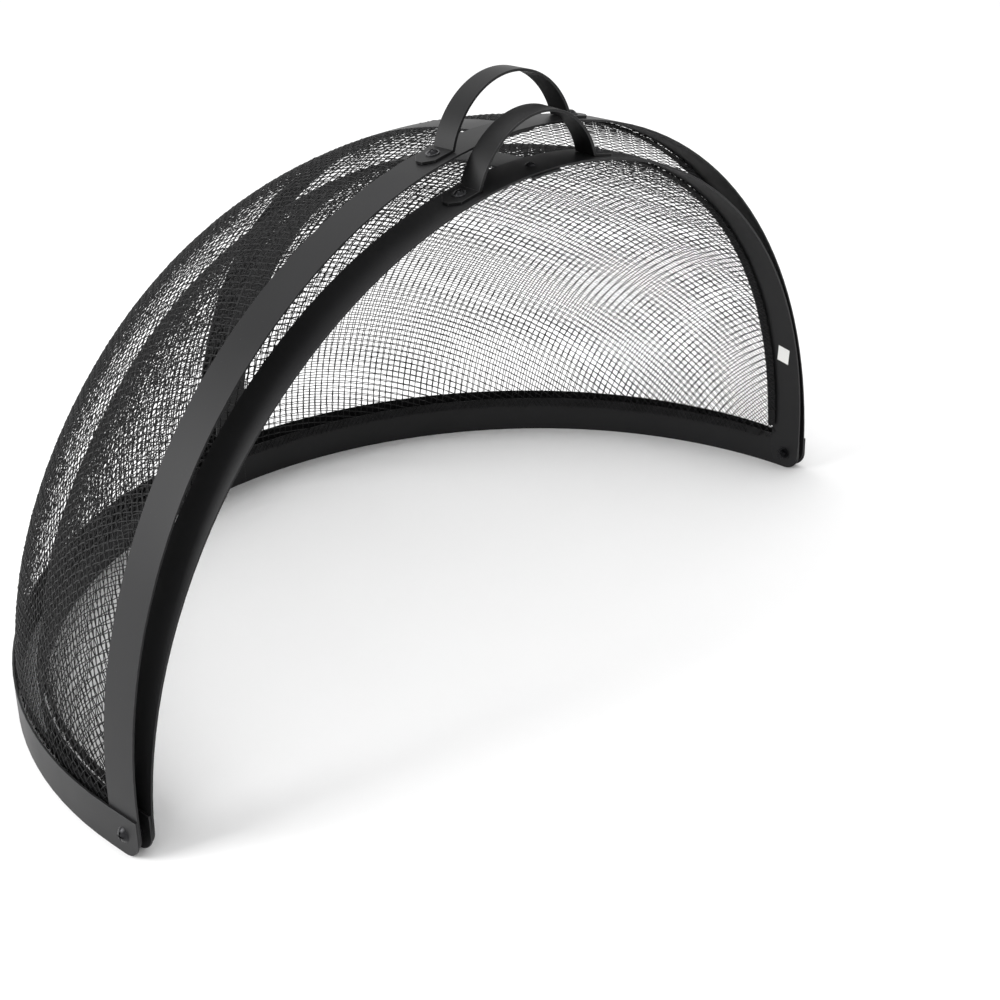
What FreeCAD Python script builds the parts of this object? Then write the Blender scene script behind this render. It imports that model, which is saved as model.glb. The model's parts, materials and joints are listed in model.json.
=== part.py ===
import FreeCAD, Part
import math
import os

# Folding two-half dome spark screen for a round fire pit. Millimetres, +Z up, floor at Z = 0.
# The hinge line runs along X. Each half is a pair of flat steel strips bent to arcs, a centre rib
# and woven wire mesh, drawn here as a plain thin shell.

# Strips
STRIP_WIDTH = 37.0
STRIP_THICK = 2.0
RIB_WIDTH = 36.0
RIB_END_INSET = 2.0
TIP = STRIP_WIDTH / 2
ARCH_END_INSET = 3.0

# Outer half: hinge line to the outside of the arch strip, at the hinge and at its crown
OUTER_SPAN = 457.0
OUTER_CROWN = 478.0
OUTER_ARCH_DEG = 89.0

# Inner half, nested inside the outer one when the screen stands open
SIDE_GAP = 8.4
CROWN_GAP = 28.8
INNER_SPAN = OUTER_SPAN - 2 * STRIP_THICK - SIDE_GAP
INNER_CROWN = OUTER_CROWN - CROWN_GAP

# How far each rib shows beyond the front edge of its arch strip
OUTER_TAIL = 0.0
INNER_TAIL = 2.0

# Mesh: fall of the middle of a half, and of the middle of each panel, below the arcs
OUTER_SAG = 0.009
OUTER_FLAT = 0.019
INNER_SAG = 0.0
INNER_FLAT = 0.036
MESH_THICK = 1.6
MESH_LAP = 5.0
MESH_START = TIP + 2.0
HEM_WIDTH = 10.0
HEM_THICK = 0.8
HEM_START = TIP + 15.0
SEAT_GAP = 0.1
NUT_GAP = 0.2
HEM_GAP = 0.3

# Points that carry the curved sheets
PANEL_ROWS = 15
PANEL_COLUMNS = 13
HEM_ROWS = 31
HEM_COLUMNS = 4
RIB_ROWS = 5
RIB_COLUMNS = 49
LAP_COLUMNS = 6

# Pivot, from the outside in: screw head, base strip, arch strip, spacer, base strip, arch strip,
# washer, lock nut
PIVOT_R = 3.0
PIVOT_RUNNING_CLEARANCE = 0.08
PIVOT_FIXED_CLEARANCE = 0.2
PIVOT_HEAD_R = 7.0
PIVOT_HEAD_HEIGHT = 3.8
PIVOT_SIDE_PLAY = 0.1
SPACER_R = 8.0
PIVOT_WASHER_R = 7.0
PIVOT_WASHER_THICK = 1.4
PIVOT_NUT_FLATS = 10.0
PIVOT_NUT_HEIGHT = 5.0
PIVOT_NUT_COLLAR_R = 4.4
PIVOT_NUT_COLLAR = 1.4
PIVOT_END = 1.2

# Handles
HANDLE_HALF_SPAN = 87.0
HANDLE_WIDTH = 23.0
HANDLE_THICK = 2.5
HANDLE_RISE = 60.0
HANDLE_FOOT_OUT = 17.0
HANDLE_FOOT_IN = 15.0
HANDLE_CHAMFER = 8.0

# The inner arch strip stands far enough forward for its handle to clear the outer arch strip
HANDLE_CLEARANCE = 1.7
INNER_ARCH_DEG = OUTER_ARCH_DEG + math.degrees(
    (TIP + HANDLE_WIDTH / 2 + HANDLE_CLEARANCE) / OUTER_CROWN
)

# Small fasteners
SCREW_R = 2.5
SCREW_CLEARANCE = 0.2
SCREW_HEAD_R = 4.9
SCREW_HEAD_HEIGHT = 2.6
WASHER_R = 6.2
WASHER_THICK = 1.2
NUT_FLATS = 8.0
NUT_HEIGHT = 4.0
SCREW_END = 1.2
RECESS_WIDTH = 0.22
RECESS_LENGTH = 1.15
RECESS_DEPTH = 0.55

# Label on the inside of the inner arch strip
LABEL_WIDTH = 14.5
LABEL_LENGTH = 22.0
LABEL_THICK = 0.25
LABEL_HEIGHT = 131.0
LABEL_ACROSS = 0.5
LABEL_TURN_DEG = 12.0

X = FreeCAD.Vector(1, 0, 0)
Z = FreeCAD.Vector(0, 0, 1)
ORIGIN = FreeCAD.Vector(0, 0, 0)


def vec(x, y, z):
    return FreeCAD.Vector(x, y, z)


def turned(shape, degrees):
    """A copy turned about the hinge line."""
    out = shape.copy()
    out.rotate(ORIGIN, X, degrees)
    return out


def both_ends(shape):
    """The same solid at the left and at the right end of the hinge line."""
    other = shape.mirror(ORIGIN, X)
    return Part.makeCompound([shape, other])


class Half:
    """The arc and the dome of one half; arc angle alpha runs from the crown to the hinge."""

    def __init__(self, span, crown, arch_deg, sag, flat, tail):
        self.span = span
        self.crown = crown
        self.arch_deg = arch_deg
        self.sag = sag
        self.flat = flat
        self.tail = tail
        rise = crown - TIP
        self.radius = (span * span + rise * rise) / (2 * rise)
        self.centre = crown - self.radius

    def alpha_at_height(self, height, depth):
        return math.acos((height - self.centre) / (self.radius - depth))

    def alpha_at_x(self, x, depth):
        return math.asin(x / (self.radius - depth))

    def band_point(self, alpha, depth, across, degrees):
        """A point on a strip: depth below its outer face, across from its centre line."""
        reach = self.radius - depth
        height = self.centre + reach * math.cos(alpha)
        turn = math.radians(degrees)
        y = height * math.cos(turn) - across * math.sin(turn)
        z = height * math.sin(turn) + across * math.cos(turn)
        return vec(reach * math.sin(alpha), y, z)

    def dome_point(self, alpha, depth, theta):
        """A point on the mesh dome, theta being the angle about the hinge line from the back."""
        reach = self.radius - depth
        height = self.centre + reach * math.cos(alpha)
        edge = TIP - MESH_LAP
        rho = math.hypot(height, edge)
        share = theta / math.radians(self.arch_deg)
        middle = math.sin(math.pi * share) ** 2
        panel = math.sin(2 * alpha) ** 2
        rho = rho * (1 - (self.sag + self.flat * panel) * middle)
        x = reach * math.sin(alpha) * (1 - self.flat * panel * middle)
        return vec(x, rho * math.cos(theta), rho * math.sin(theta))

    def edge_angles(self, alpha, depth, inset):
        """The mesh's limits in theta on this arc, inset from its lapped edges."""
        height = self.centre + (self.radius - depth) * math.cos(alpha)
        edge = math.atan2(TIP - MESH_LAP, height)
        step = inset / math.hypot(height, TIP - MESH_LAP)
        return edge + step, math.radians(self.arch_deg) - edge - step


OUTER = Half(OUTER_SPAN, OUTER_CROWN, OUTER_ARCH_DEG, OUTER_SAG, OUTER_FLAT, OUTER_TAIL)
INNER = Half(INNER_SPAN, INNER_CROWN, INNER_ARCH_DEG, INNER_SAG, INNER_FLAT, INNER_TAIL)


# ---- strips ----------------------------------------------------------------------------------

def strip_profile(span, crown, thick):
    """A flat-ended arc in the XZ plane, closed to a band of the given thickness."""
    inside = span - thick
    start = -TIP
    outer = Part.Arc(vec(-span, 0, TIP), vec(0, 0, crown), vec(span, 0, TIP)).toShape()
    inner = Part.Arc(vec(-inside, 0, TIP), vec(0, 0, crown - thick), vec(inside, 0, TIP)).toShape()
    edges = [
        outer,
        Part.makeLine(vec(span, 0, TIP), vec(span, 0, start)),
        Part.makeLine(vec(span, 0, start), vec(inside, 0, start)),
        Part.makeLine(vec(inside, 0, start), vec(inside, 0, TIP)),
        inner,
        Part.makeLine(vec(-inside, 0, TIP), vec(-inside, 0, start)),
        Part.makeLine(vec(-inside, 0, start), vec(-span, 0, start)),
        Part.makeLine(vec(-span, 0, start), vec(-span, 0, TIP)),
    ]
    return Part.Face(Part.Wire(Part.__sortEdges__(edges)))


def rounded_outline(span, crown, inset):
    """The strip seen along the hinge line: half-round ends just short of the floor edge."""
    reach = span + STRIP_WIDTH
    disc = Part.makeCylinder(TIP, 2 * reach, vec(-reach, 0, inset), X)
    body = Part.makeBox(2 * reach, STRIP_WIDTH, crown + STRIP_WIDTH, vec(-reach, -TIP, inset))
    return disc.fuse(body)


def square_corner(span):
    """The corner that stays square where a base strip meets the edge of its arch strip."""
    reach = span + STRIP_WIDTH
    return Part.makeBox(2 * reach, TIP, TIP, vec(-reach, -TIP, -TIP))


def strip(span, crown, hole_r, outline):
    """A bent strip standing upright over the hinge line, with its two pivot holes."""
    face = strip_profile(span, crown, STRIP_THICK)
    face.translate(vec(0, -TIP, 0))
    band = face.extrude(vec(0, STRIP_WIDTH, 0))
    band = band.common(outline)
    reach = span + STRIP_WIDTH
    return band.cut(Part.makeCylinder(hole_r, 2 * reach, vec(-reach, 0, 0), X))


def drill(band, half, x, hole_r):
    """A hole square to an upright strip at a distance x along it."""
    alpha = half.alpha_at_x(x, 0)
    out = vec(math.sin(alpha), 0, math.cos(alpha))
    start = vec(x, 0, half.centre + half.radius * math.cos(alpha)) - out * (4 * STRIP_THICK)
    return band.cut(Part.makeCylinder(hole_r, 8 * STRIP_THICK, start, out))


def arch_strip(half, hole_r):
    outline = rounded_outline(half.span, half.crown, ARCH_END_INSET)
    band = strip(half.span, half.crown, hole_r, outline)
    screw_hole = SCREW_R + SCREW_CLEARANCE
    for x in (-HANDLE_HALF_SPAN, 0.0, HANDLE_HALF_SPAN):
        band = drill(band, half, x, screw_hole)
    return turned(band, half.arch_deg - 90)


def base_strip(half, hole_r):
    span = half.span + STRIP_THICK
    outline = rounded_outline(span, half.crown, 0.0).fuse(square_corner(span))
    band = strip(span, half.crown, hole_r, outline)
    band = drill(band, half, 0.0, SCREW_R + SCREW_CLEARANCE)
    return turned(band, -90)


# ---- mesh, ribs and hems ---------------------------------------------------------------------

def through(rows):
    """A smooth surface through a grid of points."""
    made = Part.BSplineSurface()
    made.interpolate(rows)
    return made.toShape()


def clamped(count):
    """Knots and their repeats for a cubic led by that many points."""
    return [4] + [1] * (count - 4) + [4], list(range(count - 2))


def along(rows):
    """A smooth surface led by a grid of points, which keeps straight stretches straight."""
    u_repeats, u_knots = clamped(len(rows))
    v_repeats, v_knots = clamped(len(rows[0]))
    made = Part.BSplineSurface()
    made.buildFromPolesMultsKnots(
        rows, u_repeats, v_repeats, u_knots, v_knots, False, False, 3, 3
    )
    return made.toShape()


def layer(rows_out, rows_in, surface):
    """A solid between two matching grids of points."""
    top = surface(rows_out)
    bottom = surface(rows_in)
    sides = []
    for upper, lower in zip(top.Edges, bottom.Edges):
        sides.append(Part.makeRuledSurface(upper, lower))
    shell = Part.makeShell([top, bottom] + sides)
    shell.sewShape()
    solid = Part.makeSolid(shell)
    if solid.Volume < 0:
        solid.reverse()
    return solid


def spread(low, high, count):
    return [low + (high - low) * i / (count - 1) for i in range(count)]


def mesh_grid(half, depth, side, rim):
    """Points of one mesh panel, from the rib's edge to the hinge corner."""
    start = half.alpha_at_x(rim, depth)
    stop = half.alpha_at_height(MESH_START, depth)
    rows = []
    for alpha in spread(start, stop, PANEL_ROWS):
        ends = half.edge_angles(alpha, depth, 0.0)
        rows.append([half.dome_point(side * alpha, depth, theta) for theta in spread(*ends, PANEL_COLUMNS)])
    return rows


def mesh_panel(half, side):
    depth = STRIP_THICK + SEAT_GAP
    rim = RIB_WIDTH / 2
    outside = mesh_grid(half, depth, side, rim)
    return layer(outside, mesh_grid(half, depth + MESH_THICK, side, rim), through)


def hem_grid(half, depth, at_arch):
    """Points of the doubled mesh edge along one strip."""
    stop = half.alpha_at_height(HEM_START, depth)
    rows = []
    for alpha in spread(-stop, stop, HEM_ROWS):
        low, high = half.edge_angles(alpha, depth, 0.0)
        low_in, high_in = half.edge_angles(alpha, depth, HEM_WIDTH)
        ends = (high_in, high) if at_arch else (low, low_in)
        rows.append([half.dome_point(alpha, depth, theta) for theta in spread(*ends, HEM_COLUMNS)])
    return rows


def hem(half, at_arch):
    depth = STRIP_THICK + SEAT_GAP + MESH_THICK + HEM_GAP
    outside = hem_grid(half, depth, at_arch)
    return layer(outside, hem_grid(half, depth + HEM_THICK, at_arch), through)


def rib_row(half, alpha, depth):
    """Points along the rib, lapped flat under the base strip and the arch strip."""
    ends = half.edge_angles(alpha, depth, 0.0)
    lap = TIP - MESH_LAP
    base = spread(RIB_END_INSET - TIP, lap, LAP_COLUMNS)
    arch = spread(-lap, TIP + half.tail, LAP_COLUMNS)
    row = [half.band_point(alpha, depth, across, 0.0) for across in base[:-1]]
    row += [half.dome_point(alpha, depth, theta) for theta in spread(*ends, RIB_COLUMNS)]
    row += [half.band_point(alpha, depth, across, half.arch_deg) for across in arch[1:]]
    return row


def rib_grid(half, depth):
    edge = half.alpha_at_x(RIB_WIDTH / 2, depth)
    return [rib_row(half, alpha, depth) for alpha in spread(-edge, edge, RIB_ROWS)]


def rib(half):
    depth = STRIP_THICK + SEAT_GAP
    solid = layer(rib_grid(half, depth), rib_grid(half, depth + MESH_THICK), along)
    hole_r = SCREW_R + SCREW_CLEARANCE
    reach = 2 * half.crown
    for degrees in (0.0, half.arch_deg):
        turn = math.radians(degrees)
        out = vec(0, math.cos(turn), math.sin(turn))
        solid = solid.cut(Part.makeCylinder(hole_r, reach, ORIGIN, out))
    return solid


# ---- fasteners, drawn standing on Z = 0 with the shank below ---------------------------------

def pan_head(radius, height):
    """A low domed head with a cross recess."""
    dome_r = (radius * radius + height * height) / (2 * height)
    ball = Part.makeSphere(dome_r, vec(0, 0, height - dome_r))
    head = Part.makeCylinder(radius, height).common(ball)
    long = RECESS_LENGTH * radius
    wide = RECESS_WIDTH * radius
    bar = Part.makeBox(long, wide, height, vec(-long / 2, -wide / 2, height * RECESS_DEPTH))
    other = bar.copy()
    other.rotate(ORIGIN, Z, 90)
    return head.cut(bar.fuse(other))


def screw(shank_r, length, head_r, head_height):
    shank = Part.makeCylinder(shank_r, length, vec(0, 0, -length))
    return pan_head(head_r, head_height).fuse(shank).removeSplitter()


def hexagon(flats, height):
    reach = flats / math.sqrt(3)
    corners = [vec(reach * math.cos(math.radians(60 * i)), reach * math.sin(math.radians(60 * i)), 0)
               for i in range(7)]
    block = Part.Face(Part.makePolygon(corners)).extrude(vec(0, 0, height))
    cone_r = flats / 2 + height
    trim = Part.makeCone(cone_r, flats / 2, height).common(Part.makeCylinder(reach, height))
    return block.common(trim)


def ring(radius, hole_r, thick):
    return Part.makeCylinder(radius, thick).cut(Part.makeCylinder(hole_r, thick))


def placed(shape, point, out):
    """The shape with its Z axis along out and its origin at point."""
    made = shape.copy()
    made.Placement = FreeCAD.Placement(point, FreeCAD.Rotation(Z, out))
    return made


def along_arch(half, x):
    """A point on the outside of the arch strip at x, and its outward direction."""
    alpha = half.alpha_at_x(x, 0)
    point = half.band_point(alpha, 0.0, 0.0, half.arch_deg)
    turn = math.radians(half.arch_deg)
    out = vec(math.sin(alpha), math.cos(alpha) * math.cos(turn), math.cos(alpha) * math.sin(turn))
    return point, out


def rib_points(half, depth):
    """The rib's fixing points on the base strip and on the arch strip."""
    places = []
    for degrees in (0.0, half.arch_deg):
        turn = math.radians(degrees)
        out = vec(0, math.cos(turn), math.sin(turn))
        places.append((out * (half.crown - depth), out))
    return places


def rib_fixings(half):
    """Screws through strip and rib, with their nuts inside."""
    grip = STRIP_THICK + SEAT_GAP + MESH_THICK
    length = grip + NUT_GAP + NUT_HEIGHT + SCREW_END
    one = screw(SCREW_R, length, SCREW_HEAD_R, SCREW_HEAD_HEIGHT)
    nut = hexagon(NUT_FLATS, NUT_HEIGHT).cut(Part.makeCylinder(SCREW_R, NUT_HEIGHT))
    screws = [placed(one, point, out) for point, out in rib_points(half, 0.0)]
    nuts = [placed(nut, point, out * -1) for point, out in rib_points(half, grip + NUT_GAP)]
    return Part.makeCompound(screws), Part.makeCompound(nuts)


# ---- handles ---------------------------------------------------------------------------------

def foot_solid():
    """One flat foot with chamfered corners, lying on Z = 0 with its screw hole at the origin."""
    half_width = HANDLE_WIDTH / 2
    tip = HANDLE_FOOT_OUT
    cut = HANDLE_CHAMFER
    inside = -HANDLE_FOOT_IN
    outline = [
        vec(inside, -half_width, 0),
        vec(tip - cut, -half_width, 0),
        vec(tip, cut - half_width, 0),
        vec(tip, half_width - cut, 0),
        vec(tip - cut, half_width, 0),
        vec(inside, half_width, 0),
        vec(inside, -half_width, 0),
    ]
    foot = Part.Face(Part.makePolygon(outline)).extrude(vec(0, 0, HANDLE_THICK))
    return foot.cut(Part.makeCylinder(SCREW_R + SCREW_CLEARANCE, HANDLE_THICK))


def flipped(point):
    return vec(-point.x, point.y, point.z)


def loop_solid(seat, out, along):
    """The bent strap between the two feet."""
    toe = seat - along * HANDLE_FOOT_IN
    root = toe + along * HANDLE_THICK
    heel = root + out * HANDLE_THICK
    crown = vec(0, 0, seat.z + HANDLE_RISE)
    inside = vec(0, 0, crown.z - HANDLE_THICK)
    edges = [
        Part.Arc(flipped(heel), crown, heel).toShape(),
        Part.makeLine(heel, root),
        Part.makeLine(root, toe),
        Part.Arc(toe, inside, flipped(toe)).toShape(),
        Part.makeLine(flipped(toe), flipped(root)),
        Part.makeLine(flipped(root), flipped(heel)),
    ]
    face = Part.Face(Part.Wire(Part.__sortEdges__(edges)))
    face.translate(vec(0, -HANDLE_WIDTH / 2, 0))
    return face.extrude(vec(0, HANDLE_WIDTH, 0))


def handle(half):
    """A strap bent to an arch, its two feet lying along the arch strip."""
    alpha = half.alpha_at_x(HANDLE_HALF_SPAN, 0)
    seat = vec(HANDLE_HALF_SPAN, 0, half.centre + half.radius * math.cos(alpha))
    out = vec(math.sin(alpha), 0, math.cos(alpha))
    along = vec(math.cos(alpha), 0, -math.sin(alpha))
    foot = foot_solid()
    foot.rotate(ORIGIN, FreeCAD.Vector(0, 1, 0), math.degrees(alpha))
    foot.translate(seat)
    body = loop_solid(seat, out, along).fuse([foot, foot.mirror(ORIGIN, X)])
    return turned(body.removeSplitter(), half.arch_deg - 90)


def handle_fixings(half):
    """Screws, washers and nuts of both feet, as groups of separate solids."""
    above = HANDLE_THICK + WASHER_THICK
    below = STRIP_THICK + NUT_GAP
    shank = screw(SCREW_R, above + below + NUT_HEIGHT + SCREW_END, SCREW_HEAD_R, SCREW_HEAD_HEIGHT)
    washer = ring(WASHER_R, SCREW_R + SCREW_CLEARANCE, WASHER_THICK)
    nut = hexagon(NUT_FLATS, NUT_HEIGHT).cut(Part.makeCylinder(SCREW_R, NUT_HEIGHT))
    screws, washers, nuts = [], [], []
    for x in (-HANDLE_HALF_SPAN, HANDLE_HALF_SPAN):
        point, out = along_arch(half, x)
        screws.append(placed(shank, point + out * above, out))
        washers.append(placed(washer, point + out * HANDLE_THICK, out))
        nuts.append(placed(nut, point - out * below, out * -1))
    return [Part.makeCompound(group) for group in (screws, washers, nuts)]


# ---- pivots ----------------------------------------------------------------------------------

def pivot_parts():
    """Screw, spacer, washer and lock nut at both ends of the hinge line."""
    inner_face = INNER_SPAN - STRIP_THICK
    washer_at = inner_face - PIVOT_SIDE_PLAY - PIVOT_WASHER_THICK
    nut_at = washer_at - PIVOT_NUT_HEIGHT - PIVOT_NUT_COLLAR
    head_at = OUTER_SPAN + STRIP_THICK
    bolt = screw(PIVOT_R, head_at - nut_at + PIVOT_END, PIVOT_HEAD_R, PIVOT_HEAD_HEIGHT)
    bolt = placed(bolt, X * head_at, X)
    spacer_low = INNER_SPAN + STRIP_THICK + PIVOT_SIDE_PLAY
    hole_r = PIVOT_R + PIVOT_FIXED_CLEARANCE
    spacer = ring(SPACER_R, hole_r, OUTER_SPAN - STRIP_THICK - spacer_low)
    spacer = placed(spacer, X * spacer_low, X)
    washer = placed(ring(PIVOT_WASHER_R, hole_r, PIVOT_WASHER_THICK), X * washer_at, X)
    nut = hexagon(PIVOT_NUT_FLATS, PIVOT_NUT_HEIGHT)
    nut = nut.fuse(Part.makeCylinder(PIVOT_NUT_COLLAR_R, PIVOT_NUT_HEIGHT + PIVOT_NUT_COLLAR))
    nut = nut.cut(Part.makeCylinder(PIVOT_R, PIVOT_NUT_HEIGHT + PIVOT_NUT_COLLAR)).removeSplitter()
    nut = placed(nut, X * washer_at, X * -1)
    return [both_ends(shape) for shape in (bolt, spacer, washer, nut)]


# ---- label -----------------------------------------------------------------------------------

def label(half):
    """A thin blank label stuck a little askew on the inside of the arch strip."""
    outer_r = half.radius - STRIP_THICK - SEAT_GAP
    wide = 2 * LABEL_LENGTH
    axis = FreeCAD.Vector(0, 1, 0)
    start = vec(0, -wide / 2, 0)
    inside = Part.makeCylinder(outer_r - LABEL_THICK, wide, start, axis)
    skin = Part.makeCylinder(outer_r, wide, start, axis).cut(inside)
    patch = Part.makeBox(
        LABEL_LENGTH, LABEL_WIDTH, wide, vec(-LABEL_LENGTH / 2, -LABEL_WIDTH / 2, outer_r - wide / 2)
    )
    patch.rotate(ORIGIN, Z, LABEL_TURN_DEG)
    piece = skin.common(patch)
    piece.rotate(ORIGIN, axis, math.degrees(half.alpha_at_height(LABEL_HEIGHT, STRIP_THICK)))
    piece.translate(vec(0, -LABEL_ACROSS, half.centre))
    return turned(piece, half.arch_deg - 90)


# ---- assembly --------------------------------------------------------------------------------

def half_nodes(name, half, pivot_hole_r):
    screws, washers, nuts = handle_fixings(half)
    rib_screws, rib_nuts = rib_fixings(half)
    return {
        name + "_arch_strip": arch_strip(half, pivot_hole_r),
        name + "_base_strip": base_strip(half, pivot_hole_r),
        name + "_centre_rib": rib(half),
        name + "_mesh_left": mesh_panel(half, -1),
        name + "_mesh_right": mesh_panel(half, 1),
        name + "_hem_arch": hem(half, True),
        name + "_hem_base": hem(half, False),
        name + "_handle": handle(half),
        name + "_handle_screws": screws,
        name + "_handle_washers": washers,
        name + "_handle_nuts": nuts,
        name + "_rib_screws": rib_screws,
        name + "_rib_nuts": rib_nuts,
    }


def centred(nodes):
    """The nodes moved so that the whole stands on Z = 0 with its box centred on X and Y."""
    box = Part.makeCompound(list(nodes.values())).optimalBoundingBox(False)
    shift = vec(0, -(box.YMin + box.YMax) / 2, TIP)
    for shape in nodes.values():
        shape.translate(shift)
    return nodes


def main():
    os.makedirs("parts", exist_ok=True)
    nodes = half_nodes("outer", OUTER, PIVOT_R + PIVOT_FIXED_CLEARANCE)
    nodes.update(half_nodes("inner", INNER, PIVOT_R + PIVOT_RUNNING_CLEARANCE))
    bolts, spacers, washers, lock_nuts = pivot_parts()
    nodes["pivot_screws"] = bolts
    nodes["pivot_spacers"] = spacers
    nodes["pivot_washers"] = washers
    nodes["pivot_lock_nuts"] = lock_nuts
    nodes["label"] = label(INNER)
    for name, shape in centred(nodes).items():
        shape.exportStep("parts/" + name + ".step")


main()
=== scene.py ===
import json
import math
import random

import bmesh
import bpy
from bpy.props import FloatProperty, FloatVectorProperty, PointerProperty
from mathutils import Matrix, Vector
from mathutils.bvhtree import BVHTree


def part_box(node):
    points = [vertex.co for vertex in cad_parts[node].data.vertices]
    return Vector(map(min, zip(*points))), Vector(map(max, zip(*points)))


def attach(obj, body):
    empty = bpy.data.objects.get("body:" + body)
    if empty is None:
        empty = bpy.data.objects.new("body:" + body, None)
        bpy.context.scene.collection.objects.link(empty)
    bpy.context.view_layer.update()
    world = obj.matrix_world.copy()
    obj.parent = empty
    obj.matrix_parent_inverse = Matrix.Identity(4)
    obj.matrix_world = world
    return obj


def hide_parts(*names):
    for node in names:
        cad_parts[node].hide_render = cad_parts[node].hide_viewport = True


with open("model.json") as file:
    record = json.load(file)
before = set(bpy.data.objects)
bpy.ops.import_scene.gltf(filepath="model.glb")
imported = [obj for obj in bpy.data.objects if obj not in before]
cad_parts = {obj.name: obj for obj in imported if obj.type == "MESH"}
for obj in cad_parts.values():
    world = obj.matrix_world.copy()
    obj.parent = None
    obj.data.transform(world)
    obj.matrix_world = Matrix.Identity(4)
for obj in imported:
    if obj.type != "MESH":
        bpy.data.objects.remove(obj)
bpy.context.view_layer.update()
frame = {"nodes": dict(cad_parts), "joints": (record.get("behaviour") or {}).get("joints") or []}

bl_info = {
    "name": "Folding dome spark screen",
    "version": (1, 0, 0),
    "blender": (4, 5, 0),
    "location": "View3D > Sidebar > Spark Screen",
    "description": "Woven mesh, finishes and stage for a folding dome spark screen",
    "category": "Object",
}

MM = 0.001
X_AXIS = Vector((1, 0, 0))
HINGE = Vector(frame["joints"][0]["pos_m"])

# Angle from the base strip to the arch strip of each half, and the body that the half is
ARCH_DEG = {"outer": 89.0, "inner": 92.8}
BODY = {"outer": "outer_half", "inner": "inner_half"}
SIDES = ("left", "right")

# Half the thickness of the plain mesh shell, half the width of a strip and of a hem. The hinge
# line stands half a strip above the floor.
SHELL_HALF = 0.8 * MM
STRIP_HALF = HINGE.z
HEM_HALF = 5 * MM

# Powder coat and lacquer: refraction, and how much of the usual sheen they keep
COAT_IOR = 1.5
COAT_SHEEN = 0.22

# Edges steeper than this are cut edges, and are rounded; flatter than that are one face
SHARP_ANGLE = math.radians(28)
FLAT_ANGLE = math.radians(0.02)
WELD_DISTANCE = 0.001 * MM

# How far the cloth is laid out sideways and up and down from the middle of a half
CLOTH_SIDEWAYS = math.radians(88)
CLOTH_UPWARDS = math.radians(60)

# Hem wire ends: how deep they lie under the skin, their slant, and the room left at the edges
HEM_WIRE_LIFT = -0.3 * MM
HEM_WIRE_SLANT = 9 * MM
HEM_WIRE_MARGIN = 0.4 * MM
HEM_WIRE_SHARES = (0.0, 0.35, 0.7, 1.0)
HEM_WIRES_PER_PITCH = 2.4

STRIPS = ("arch_strip", "base_strip", "centre_rib")
FIXINGS = ("handle_screws", "handle_washers", "handle_nuts", "rib_screws", "rib_nuts")
PIVOTS = ("pivot_screws", "pivot_spacers", "pivot_washers", "pivot_lock_nuts")

# Camera: place from the hinge, and the directions of its right and top
CAMERA_FROM_HINGE = Vector((-1.07518, -1.02816, 0.87877))
CAMERA_RIGHT = Vector((0.62809, -0.77809, 0.00911))
CAMERA_TOP = Vector((0.29092, 0.24566, 0.92467))
CAMERA_LENS = 62.836
CAMERA_SHIFT = (-0.15843, -0.14910)


def linear(hex_colour):
    """An sRGB hex colour as three linear values."""
    out = []
    for i in (1, 3, 5):
        c = int(hex_colour[i : i + 2], 16) / 255
        out.append(c / 12.92 if c <= 0.04045 else ((c + 0.055) / 1.055) ** 2.4)
    return out


# ---- sizes and colours ------------------------------------------------------------------------


class ScreenSizes(bpy.types.PropertyGroup):
    pitch: FloatProperty(
        name="Wire spacing",
        description="Distance from wire to wire of the woven mesh",
        default=7.5 * MM,
        min=4 * MM,
        max=15 * MM,
        subtype="DISTANCE",
        unit="LENGTH",
    )
    wire: FloatProperty(
        name="Wire diameter",
        description="Diameter of the mesh wire",
        default=0.9 * MM,
        min=0.4 * MM,
        max=2 * MM,
        subtype="DISTANCE",
        unit="LENGTH",
    )
    wander: FloatProperty(
        name="Wire wander",
        description="How far a crossing may lie from its even place",
        default=0.25 * MM,
        min=0.0,
        max=1 * MM,
        subtype="DISTANCE",
        unit="LENGTH",
    )
    edge: FloatProperty(
        name="Edge rounding",
        description="Rounding of the cut steel edges",
        default=0.3 * MM,
        min=0.05 * MM,
        max=0.8 * MM,
        subtype="DISTANCE",
        unit="LENGTH",
    )
    fine_edge: FloatProperty(
        name="Fastener rounding",
        description="Rounding of the edges of screws, nuts and washers",
        default=0.12 * MM,
        min=0.02 * MM,
        max=0.4 * MM,
        subtype="DISTANCE",
        unit="LENGTH",
    )


def colour_property(name, description, hex_colour):
    return FloatVectorProperty(
        name=name,
        description=description,
        subtype="COLOR",
        size=3,
        min=0.0,
        max=1.0,
        default=linear(hex_colour),
    )


class ScreenColours(bpy.types.PropertyGroup):
    coat: colour_property("Powder coat", "Satin coat on strips, ribs and handles", "#19191a")
    # Edge colour: coat rubbed thin, and also painted paler as a highlight on the cut edges
    edge_wear_and_highlight: colour_property("Worn edge and painted highlight", "Coat rubbed thin along cut edges, with a painted highlight", "#3a3a3b")
    wire: colour_property("Mesh wire", "Dark lacquer on the woven wire", "#111112")
    hem: colour_property("Hem", "Folded edge of the mesh", "#0d0d0e")
    fastener: colour_property("Fasteners", "Black oxide on screws and nuts", "#1c1c1e")
    washer: colour_property("Washers", "Black oxide drawn paler on the washers", "#4a4a4c")
    label: colour_property("Label", "Blank paper label", "#f1f1ee")
    floor: colour_property("Floor", "Studio floor", "#fafafa")


# ---- materials --------------------------------------------------------------------------------


def add_node(tree, kind, inputs=None, **settings):
    """Adds a node, sets its options, and fills its inputs with values or with other outputs."""
    made = tree.nodes.new(kind)
    for name, value in settings.items():
        setattr(made, name, value)
    for name, value in (inputs or {}).items():
        if isinstance(value, bpy.types.NodeSocket):
            tree.links.new(value, made.inputs[name])
        else:
            made.inputs[name].default_value = value
    return made


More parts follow.
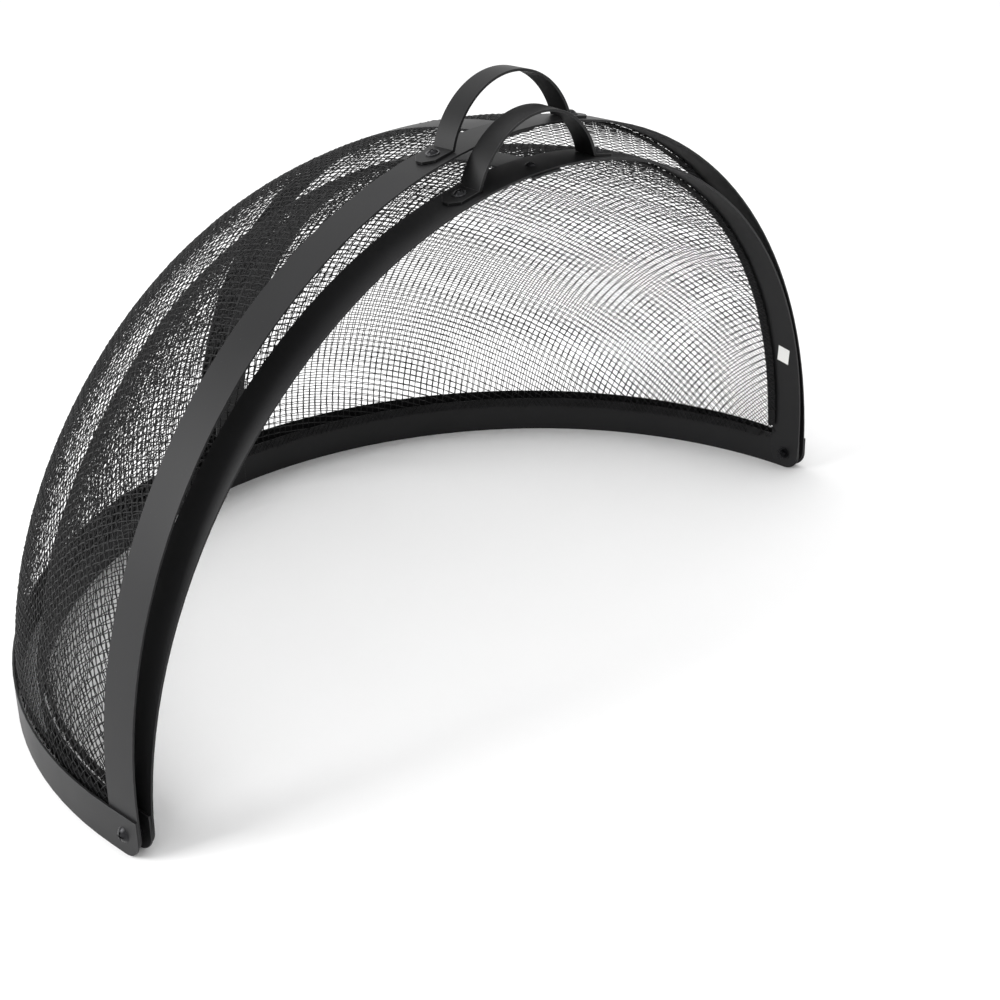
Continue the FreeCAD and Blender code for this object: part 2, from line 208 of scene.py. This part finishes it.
def new_material(name):
    """An empty material, its node tree, its surface shader and its Object coordinates."""
    made = bpy.data.materials.new(name)
    made.use_nodes = True
    tree = made.node_tree
    tree.nodes.clear()
    shader = add_node(tree, "ShaderNodeBsdfPrincipled")
    output = add_node(tree, "ShaderNodeOutputMaterial")
    tree.links.new(shader.outputs["BSDF"], output.inputs["Surface"])
    place = add_node(tree, "ShaderNodeTexCoord").outputs["Object"]
    return made, tree, shader, place


def noise(tree, place, size_mm, detail=2.0, roughness=0.5):
    """A noise whose lumps are about size_mm across."""
    scale = 1 / (size_mm * MM)
    inputs = {"Vector": place, "Scale": scale, "Detail": detail, "Roughness": roughness}
    return add_node(tree, "ShaderNodeTexNoise", inputs).outputs["Fac"]


def ramp(tree, value, low, high, out_low=0.0, out_high=1.0):
    """Spreads the part of value between low and high over a new range."""
    inputs = {"Value": value, 1: low, 2: high, 3: out_low, 4: out_high}
    return add_node(tree, "ShaderNodeMapRange", inputs, clamp=True).outputs["Result"]


def tint(tree, share, first, second):
    """A mix of two colours, the second where share is 1."""
    inputs = {0: share, 6: (*first, 1.0), 7: (*second, 1.0)}
    return add_node(tree, "ShaderNodeMix", inputs, data_type="RGBA").outputs[2]


def shade(colour, factor):
    return tuple(min(1.0, c * factor) for c in colour)


def link(tree, shader, **sockets):
    for name, value in sockets.items():
        tree.links.new(value, shader.inputs[name.replace("_", " ")])


def satin(shader):
    """The soft sheen of powder coat and lacquer."""
    shader.inputs["IOR"].default_value = COAT_IOR
    shader.inputs["Specular IOR Level"].default_value = COAT_SHEEN


def scratches(tree, place, angle):
    """Thin faint rub marks about 25 mm long and 0.4 mm wide, along one direction."""
    turn = {"Vector": place, "Rotation": (0.3, angle, 0.2), "Scale": (1.0, 60.0, 60.0)}
    turned = add_node(tree, "ShaderNodeMapping", turn).outputs["Vector"]
    marks = noise(tree, turned, 25.0, 3.0, 0.6)
    places = noise(tree, place, 70.0, 1.0)
    thin = ramp(tree, marks, 0.66, 0.7)
    where = ramp(tree, places, 0.52, 0.62)
    return add_node(tree, "ShaderNodeMath", {0: thin, 1: where}, operation="MULTIPLY").outputs[0]


def powder_coat(name, colour):
    """Satin black polyester powder on steel: an even soft sheen, faint orange peel, light marks."""
    made, tree, shader, place = new_material(name)
    clouds = noise(tree, place, 90.0, 3.0)
    base = tint(tree, ramp(tree, clouds, 0.35, 0.65), shade(colour, 0.9), shade(colour, 1.12))
    dust = ramp(tree, noise(tree, place, 2.2, 1.0), 0.76, 0.8, 0.0, 0.35)
    rubs = add_node(
        tree,
        "ShaderNodeMath",
        {0: scratches(tree, place, 0.5), 1: scratches(tree, place, 2.0)},
        operation="ADD",
        use_clamp=True,
    ).outputs[0]
    pale = {0: ramp(tree, rubs, 0.0, 1.0, 0.0, 0.4), 6: base, 7: (*shade(colour, 3.2), 1.0)}
    rubbed = add_node(tree, "ShaderNodeMix", pale, data_type="RGBA").outputs[2]
    dusty = {0: dust, 6: rubbed, 7: (*shade(colour, 4.0), 1.0)}
    final = add_node(tree, "ShaderNodeMix", dusty, data_type="RGBA").outputs[2]
    # Orange peel is about 1 mm; drawn at 1.6 mm so that it shows
    peel = noise(tree, place, 1.6, 2.0)
    rough = ramp(tree, clouds, 0.3, 0.7, 0.4, 0.5)
    bump = {"Height": peel, "Strength": 0.25, "Distance": 0.08 * MM}
    normal = add_node(tree, "ShaderNodeBump", bump).outputs["Normal"]
    link(tree, shader, Base_Color=final, Roughness=rough, Normal=normal)
    satin(shader)
    return made


def worn_and_highlit_edge(name, colour):
    """The same coat rubbed thin along a cut edge, and painted paler as a highlight where the edge
    catches the light: smoother and a little patchy.
    """
    made, tree, shader, place = new_material(name)
    patches = noise(tree, place, 9.0, 4.0, 0.65)
    share = ramp(tree, patches, 0.4, 0.68)
    base = tint(tree, share, shade(colour, 0.55), shade(colour, 1.15))
    link(tree, shader, Base_Color=base, Roughness=ramp(tree, patches, 0.3, 0.7, 0.42, 0.3))
    satin(shader)
    return made


def wire_lacquer(name, colour):
    """Black heat-proof lacquer on drawn steel wire: near black, satin, with dull patches."""
    made, tree, shader, place = new_material(name)
    patches = noise(tree, place, 14.0, 3.0)
    base = tint(tree, ramp(tree, patches, 0.35, 0.65), shade(colour, 0.75), shade(colour, 1.35))
    grain = noise(tree, place, 0.7, 1.0)
    bump = {"Height": grain, "Strength": 0.3, "Distance": 0.04 * MM}
    normal = add_node(tree, "ShaderNodeBump", bump).outputs["Normal"]
    rough = ramp(tree, patches, 0.3, 0.7, 0.36, 0.52)
    link(tree, shader, Base_Color=base, Roughness=rough, Normal=normal)
    satin(shader)
    return made


def folded_cloth(name, colour):
    """Wire cloth folded flat on itself under lacquer: dull black with a coarse crossed relief, with
    painted shade in its hollows and painted highlight on its crests.
    """
    made, tree, shader, place = new_material(name)
    wave = {"Vector": place, "Scale": 1 / (6.0 * MM) / 6.283, "Distortion": 4.0, "Detail": 2.0}
    ridges = add_node(tree, "ShaderNodeTexWave", wave, bands_direction="DIAGONAL").outputs["Fac"]
    # Painted shade in the hollows of the relief and painted highlight on its crests, following the
    # bump height
    base = tint(tree, ridges, shade(colour, 0.6), shade(colour, 1.5))
    bump = {"Height": ridges, "Strength": 0.7, "Distance": 0.5 * MM}
    normal = add_node(tree, "ShaderNodeBump", bump).outputs["Normal"]
    rough = ramp(tree, noise(tree, place, 5.0), 0.3, 0.7, 0.55, 0.75)
    link(tree, shader, Base_Color=base, Roughness=rough, Normal=normal)
    satin(shader)
    return made


def black_oxide(name, colour):
    """Black oxide on machined steel: dark, half metallic, glossier on rubbed spots."""
    made, tree, shader, place = new_material(name)
    spots = noise(tree, place, 3.0, 3.0, 0.6)
    base = tint(tree, ramp(tree, spots, 0.4, 0.65), shade(colour, 0.8), shade(colour, 1.6))
    bump = {"Height": noise(tree, place, 0.6, 2.0), "Strength": 0.2, "Distance": 0.03 * MM}
    normal = add_node(tree, "ShaderNodeBump", bump).outputs["Normal"]
    rough = ramp(tree, spots, 0.35, 0.7, 0.36, 0.22)
    link(tree, shader, Base_Color=base, Roughness=rough, Normal=normal)
    shader.inputs["Metallic"].default_value = 0.7
    return made


def paper(name, colour):
    """Matt coated paper, with a faint fibre."""
    made, tree, shader, place = new_material(name)
    fibre = noise(tree, place, 0.8, 4.0, 0.7)
    base = tint(tree, fibre, shade(colour, 0.93), colour)
    bump = {"Height": fibre, "Strength": 0.3, "Distance": 0.03 * MM}
    normal = add_node(tree, "ShaderNodeBump", bump).outputs["Normal"]
    link(tree, shader, Base_Color=base, Normal=normal)
    shader.inputs["Roughness"].default_value = 0.65
    return made


def studio_floor(name, colour):
    """Matt white painted board."""
    made, tree, shader, place = new_material(name)
    base = tint(tree, noise(tree, place, 300.0), shade(colour, 0.985), colour)
    link(tree, shader, Base_Color=base)
    shader.inputs["Roughness"].default_value = 0.9
    shader.inputs["Specular IOR Level"].default_value = 0.1
    return made


# ---- steel pieces carried over from the frame -------------------------------------------------


def steel_piece(node, body, materials, width):
    """A merged copy of a CAD node with rounded edges, which stands for that node."""
    name = node + "_finished"
    mesh = frame["nodes"][node].data.copy()
    mesh.name = name
    bm = bmesh.new()
    bm.from_mesh(mesh)
    bmesh.ops.remove_doubles(bm, verts=bm.verts, dist=WELD_DISTANCE)
    bmesh.ops.dissolve_limit(
        bm, angle_limit=FLAT_ANGLE, use_dissolve_boundaries=False, verts=bm.verts, edges=bm.edges
    )
    for face in bm.faces:
        face.smooth = True
        face.material_index = 0
    for line in bm.edges:
        line.smooth = line.calc_face_angle(0.0) < SHARP_ANGLE
    bm.to_mesh(mesh)
    bm.free()
    mesh.materials.clear()
    for material in materials:
        mesh.materials.append(material)
    piece = bpy.data.objects.new(name, mesh)
    bpy.context.scene.collection.objects.link(piece)
    bevel = piece.modifiers.new("edges", "BEVEL")
    bevel.width = width
    bevel.segments = 2
    bevel.profile = 0.5
    bevel.limit_method = "ANGLE"
    bevel.angle_limit = SHARP_ANGLE
    bevel.use_clamp_overlap = True
    bevel.harden_normals = True
    # The rounded edges take the last material: rubbed coat, painted paler as an edge highlight
    bevel.material = len(materials) - 1
    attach(piece, body)
    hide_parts(node)
    return piece


# ---- woven wire -------------------------------------------------------------------------------


def half_axes(half):
    """The directions across and along the middle of a half: outwards, and up its arc."""
    middle = math.radians(ARCH_DEG[half] / 2)
    outward = Vector((0, math.cos(middle), math.sin(middle)))
    upward = Vector((0, -math.sin(middle), math.cos(middle)))
    return outward, upward


def cloth_net(half, side, step):
    """Where the crossings of square cloth fall on a ball when it is laid over one side of a half.

    Every cell keeps four equal sides, so a crossing is the mirror image of the one diagonally
    behind it, in the plane through the other two and the ball's centre.
    """
    outward, upward = half_axes(half)
    sideways = X_AXIS * (1 if side == "right" else -1)
    count = int(CLOTH_SIDEWAYS / step)
    reach = int(CLOTH_UPWARDS / step)
    net = {}
    for i in range(count + 1):
        net[i, 0] = outward * math.cos(i * step) + sideways * math.sin(i * step)
    for sign in (1, -1):
        for j in range(1, reach + 1):
            angle = sign * j * step
            net[0, sign * j] = outward * math.cos(angle) + upward * math.sin(angle)
            for i in range(count):
                behind = net[i, sign * (j - 1)]
                beside = net[i + 1, sign * (j - 1)]
                before = net[i, sign * j]
                plane = beside.cross(before).normalized()
                net[i + 1, sign * j] = behind - plane * (2 * behind.dot(plane))
    return net, count, reach


def skin_of(node):
    """A search tree of a CAD node's skin."""
    mesh = frame["nodes"][node].data
    return BVHTree.FromPolygons([v.co for v in mesh.vertices], [p.vertices for p in mesh.polygons])


def on_skin(tree, direction, lift):
    """The point and outward normal where a line from the hinge meets a skin's inside."""
    point, normal, _, _ = tree.ray_cast(HINGE, direction)
    if point is None:
        return None
    if normal.dot(direction) < 0:
        normal = -normal
    return point + normal * lift, normal


def last_point(tree, inside, outside, lift):
    """The last point on the skin on the way from one direction to another."""
    for _ in range(7):
        middle = (inside + outside).normalized()
        if tree.ray_cast(HINGE, middle)[0] is None:
            outside = middle
        else:
            inside = middle
    return on_skin(tree, inside, lift)


def wire_runs(tree, directions, first, height, lift, wander):
    """The stretches of one wire that lie on the skin, passing over and under in turn."""
    runs, run, before = [], [], None
    for k, direction in enumerate(directions):
        found = on_skin(tree, direction, lift)
        if found is None:
            if run:
                end, _ = last_point(tree, before, direction, lift)
                run.append(end)
                runs.append(run)
            run = []
        else:
            if not run and before is not None:
                start, _ = last_point(tree, direction, before, lift)
                run.append(start)
            point, normal = found
            sway = Vector([wander.uniform(-1, 1) for _ in range(3)])
            turn = 1 if (k + first) % 2 else -1
            run.append(point + normal * (turn * height) + sway * wander.reach)
        before = direction
    if run:
        runs.append(run)
    return [r for r in runs if len(r) > 1]


def tubes(name, runs, radius, sides_step):
    """A mesh of closed round tubes along runs of points."""
    data = bpy.data.curves.new(name, "CURVE")
    data.dimensions = "3D"
    data.bevel_depth = radius
    data.bevel_resolution = sides_step
    data.use_fill_caps = True
    for run in runs:
        spline = data.splines.new("POLY")
        spline.points.add(len(run) - 1)
        flat = [c for point in run for c in (*point, 1.0)]
        spline.points.foreach_set("co", flat)
    drawn = bpy.data.objects.new(name, data)
    bpy.context.scene.collection.objects.link(drawn)
    bpy.context.view_layer.update()
    solid = drawn.evaluated_get(bpy.context.evaluated_depsgraph_get())
    mesh = bpy.data.meshes.new_from_object(solid)
    mesh.name = name
    bpy.data.objects.remove(drawn)
    bpy.data.curves.remove(data)
    mesh.polygons.foreach_set("use_smooth", [True] * len(mesh.polygons))
    return mesh


def add_piece(name, mesh, body, material):
    mesh.materials.clear()
    mesh.materials.append(material)
    piece = bpy.data.objects.new(name, mesh)
    bpy.context.scene.collection.objects.link(piece)
    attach(piece, body)
    return piece


class Wander(random.Random):
    """Seeded small offsets for the crossings."""

    def __init__(self, seed, reach):
        super().__init__(seed)
        self.reach = reach


def woven_panel(half, side, sizes, material):
    """One side of a half in plain woven wire, in place of its plain shell."""
    node = f"{half}_mesh_{side}"
    tree = skin_of(node)
    _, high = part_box(f"{half}_centre_rib")
    radius = high.y - HINGE.y
    net, count, reach = cloth_net(half, side, sizes.pitch / radius)
    height = sizes.wire / 2
    wander = Wander(7, sizes.wander)
    runs = []
    for j in range(-reach, reach + 1):
        line = [net[i, j] for i in range(count + 1)]
        runs += wire_runs(tree, line, j, height, SHELL_HALF, wander)
    for i in range(count + 1):
        line = [net[i, j] for j in range(-reach, reach + 1)]
        runs += wire_runs(tree, line, i - reach + 1, height, SHELL_HALF, wander)
    mesh = tubes(node + "_woven", runs, sizes.wire / 2, 1)
    piece = add_piece(node + "_woven", mesh, BODY[half], material)
    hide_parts(node)
    return piece


def hem_wires(half, strip, sizes, material):
    """Cut wire ends bent over the folded edge of the mesh along one strip."""
    node = f"{half}_hem_{strip}"
    tree = skin_of(node)
    angle = math.radians(ARCH_DEG[half] if strip == "arch" else 0.0)
    radial = Vector((0, math.cos(angle), math.sin(angle)))
    towards = Vector((0, math.sin(angle), -math.cos(angle)))
    if strip == "base":
        towards = -towards
    _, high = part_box(node)
    reach = high.x
    inner_edge = STRIP_HALF - HEM_HALF + HEM_WIRE_MARGIN
    outer_edge = STRIP_HALF + HEM_HALF - HEM_WIRE_MARGIN
    random_ends = random.Random(11)
    spacing = sizes.pitch / HEM_WIRES_PER_PITCH
    count = int(math.pi * reach / spacing)
    runs = []
    for k in range(count):
        around = math.pi * (k + 0.5) / count - math.pi / 2
        slant = (1 if k % 2 else -1) * random_ends.uniform(0.5, 1.0)
        start = STRIP_HALF - HEM_HALF - random_ends.uniform(-1.0, 2.5) * MM
        end = STRIP_HALF + HEM_HALF + random_ends.uniform(-1.5, 0.8) * MM
        run = []
        for share in HEM_WIRE_SHARES:
            off = start + (end - start) * share
            held = min(max(off, inner_edge), outer_edge)
            turn = around + slant * (share - 0.5) * HEM_WIRE_SLANT / reach
            aim = (X_AXIS * math.sin(turn) + radial * math.cos(turn)) * reach + towards * held
            found = on_skin(tree, aim.normalized(), HEM_WIRE_LIFT)
            if found is None:
                break
            run.append(found[0] + towards * (off - held))
        if len(run) == len(HEM_WIRE_SHARES):
            runs.append(run)
    mesh = tubes(node + "_wires", runs, sizes.wire / 2, 1)
    return add_piece(node + "_wires", mesh, BODY[half], material)


# ---- operators --------------------------------------------------------------------------------


class FinishStrips(bpy.types.Operator):
    """Round and coat the strips and centre ribs"""

    bl_idname = "spark_screen.strips"
    bl_label = "Strips and ribs"

    def execute(self, context):
        sizes = context.scene.screen_sizes
        colours = context.scene.screen_colours
        coat = powder_coat("satin black powder coat", colours.coat)
        # Cut edges: rubbed coat with a painted highlight
        edge_wear_and_highlight = worn_and_highlit_edge("powder coat rubbed thin and painted highlight", colours.edge_wear_and_highlight)
        for half in BODY:
            for part in STRIPS:
                node = f"{half}_{part}"
                steel_piece(node, BODY[half], [coat, edge_wear_and_highlight], sizes.edge)
        return {"FINISHED"}


class FinishHandles(bpy.types.Operator):
    """Round and coat the two strap handles"""

    bl_idname = "spark_screen.handles"
    bl_label = "Handles"

    def execute(self, context):
        sizes = context.scene.screen_sizes
        colours = context.scene.screen_colours
        coat = powder_coat("handle powder coat", shade(colours.coat, 0.6))
        # Cut edges: rubbed coat with a painted highlight
        edge_wear_and_highlight = worn_and_highlit_edge("handle edge rubbed thin and painted highlight", colours.edge_wear_and_highlight)
        for half in BODY:
            node = half + "_handle"
            steel_piece(node, BODY[half], [coat, edge_wear_and_highlight], sizes.edge)
        return {"FINISHED"}


class FinishFixings(bpy.types.Operator):
    """Round and blacken the screws, washers and nuts of handles and ribs"""

    bl_idname = "spark_screen.fixings"
    bl_label = "Screws, washers and nuts"

    def execute(self, context):
        sizes = context.scene.screen_sizes
        colours = context.scene.screen_colours
        oxide = black_oxide("black oxide steel", colours.fastener)
        rubbed = black_oxide("paler black oxide washer steel", colours.washer)
        # The washers are drawn in a paler black oxide than the screws and nuts
        for half in BODY:
            for part in FIXINGS:
                node = f"{half}_{part}"
                steel = rubbed if part == "handle_washers" else oxide
                steel_piece(node, BODY[half], [steel], sizes.fine_edge)
        return {"FINISHED"}


class FinishPivots(bpy.types.Operator):
    """Round and blacken the hinge screws, spacers, washers and lock nuts"""

    bl_idname = "spark_screen.pivots"
    bl_label = "Hinge pivots"

    def execute(self, context):
        sizes = context.scene.screen_sizes
        oxide = black_oxide("black oxide pivot steel", context.scene.screen_colours.fastener)
        for node in PIVOTS:
            steel_piece(node, BODY["outer"], [oxide], sizes.fine_edge)
        return {"FINISHED"}


class WeaveMesh(bpy.types.Operator):
    """Weave the wire mesh of both halves"""

    bl_idname = "spark_screen.mesh"
    bl_label = "Woven wire mesh"

    def execute(self, context):
        sizes = context.scene.screen_sizes
        lacquer = wire_lacquer("black lacquered wire", context.scene.screen_colours.wire)
        for half in BODY:
            for side in SIDES:
                woven_panel(half, side, sizes, lacquer)
        return {"FINISHED"}


class FoldHems(bpy.types.Operator):
    """Finish the folded mesh edges along the strips"""

    bl_idname = "spark_screen.hems"
    bl_label = "Mesh hems"

    def execute(self, context):
        sizes = context.scene.screen_sizes
        colours = context.scene.screen_colours
        folded = folded_cloth("folded wire cloth", colours.hem)
        lacquer = wire_lacquer("lacquered wire ends", colours.wire)
        for half in BODY:
            for strip in ("arch", "base"):
                steel = frame["nodes"][f"{half}_hem_{strip}"].data
                steel.materials.clear()
                steel.materials.append(folded)
                hem_wires(half, strip, sizes, lacquer)
        return {"FINISHED"}


class FinishLabel(bpy.types.Operator):
    """Give the blank label its paper"""

    bl_idname = "spark_screen.label"
    bl_label = "Blank label"

    def execute(self, context):
        white = paper("matt white label paper", context.scene.screen_colours.label)
        mesh = frame["nodes"]["label"].data
        mesh.materials.clear()
        mesh.materials.append(white)
        return {"FINISHED"}


def soft_light(name, place, aim, size, power):
    data = bpy.data.lights.new(name, "AREA")
    data.shape = "RECTANGLE"
    data.size, data.size_y = size
    data.energy = power
    lamp = bpy.data.objects.new(name, data)
    lamp.location = place
    lamp.rotation_mode = "QUATERNION"
    lamp.rotation_quaternion = (Vector(aim) - Vector(place)).to_track_quat("-Z", "Y")
    bpy.context.scene.collection.objects.link(lamp)


class BuildStage(bpy.types.Operator):
    """Add the floor, the studio light and the camera"""

    bl_idname = "spark_screen.stage"
    bl_label = "Floor, light and camera"

    def execute(self, context):
        scene = context.scene
        board = studio_floor("matt white floor", scene.screen_colours.floor)
        bm = bmesh.new()
        bmesh.ops.create_grid(bm, x_segments=1, y_segments=1, size=30.0)
        mesh = bpy.data.meshes.new("floor")
        bm.to_mesh(mesh)
        bm.free()
        mesh.materials.append(board)
        floor = bpy.data.objects.new("floor", mesh)
        scene.collection.objects.link(floor)
        world = bpy.data.worlds.new("studio")
        world.use_nodes = True
        back = world.node_tree.nodes["Background"]
        back.inputs["Color"].default_value = (1.0, 1.0, 1.0, 1.0)
        back.inputs["Strength"].default_value = 1.0
        scene.world = world
        scene.view_settings.view_transform = "Standard"
        soft_light("key", (-2.6, 1.2, 1.6), (0, 0, 0.2), (1.6, 1.6), 80.0)
        soft_light("top", (0.2, 0.6, 2.6), (0, 0, 0.2), (1.6, 1.6), 12.0)
        data = bpy.data.cameras.new("camera")
        data.lens = CAMERA_LENS
        data.sensor_width = 36.0
        data.shift_x, data.shift_y = CAMERA_SHIFT
        data.clip_end = 100.0
        camera = bpy.data.objects.new("camera", data)
        behind = CAMERA_RIGHT.cross(CAMERA_TOP)
        axes = Matrix((CAMERA_RIGHT, CAMERA_TOP, behind)).transposed()
        camera.matrix_world = Matrix.Translation(HINGE + CAMERA_FROM_HINGE) @ axes.to_4x4()
        scene.collection.objects.link(camera)
        scene.camera = camera
        return {"FINISHED"}


class ScreenPanel(bpy.types.Panel):
    """The spark screen's pieces, in the order they are made"""

    bl_idname = "VIEW3D_PT_spark_screen"
    bl_label = "Spark screen"
    bl_space_type = "VIEW_3D"
    bl_region_type = "UI"
    bl_category = "Spark Screen"

    def draw(self, context):
        layout = self.layout
        for group in (context.scene.screen_sizes, context.scene.screen_colours):
            box = layout.box()
            for name in type(group).__annotations__:
                box.prop(group, name)
        for operator in OPERATORS:
            layout.operator(operator.bl_idname)


GROUPS = (ScreenSizes, ScreenColours)
OPERATORS = (
    FinishStrips,
    FinishHandles,
    FinishFixings,
    FinishPivots,
    WeaveMesh,
    FoldHems,
    FinishLabel,
    BuildStage,
)
CLASSES = (*GROUPS, *OPERATORS, ScreenPanel)


def register():
    for item in CLASSES:
        bpy.utils.register_class(item)
    bpy.types.Scene.screen_sizes = PointerProperty(type=ScreenSizes)
    bpy.types.Scene.screen_colours = PointerProperty(type=ScreenColours)


def unregister():
    del bpy.types.Scene.screen_colours
    del bpy.types.Scene.screen_sizes
    for item in reversed(CLASSES):
        bpy.utils.unregister_class(item)


def main():
    register()
    bpy.ops.spark_screen.strips()
    bpy.ops.spark_screen.handles()
    bpy.ops.spark_screen.fixings()
    bpy.ops.spark_screen.pivots()
    bpy.ops.spark_screen.mesh()
    bpy.ops.spark_screen.hems()
    bpy.ops.spark_screen.label()
    bpy.ops.spark_screen.stage()


if __name__ == "__main__":
    main()
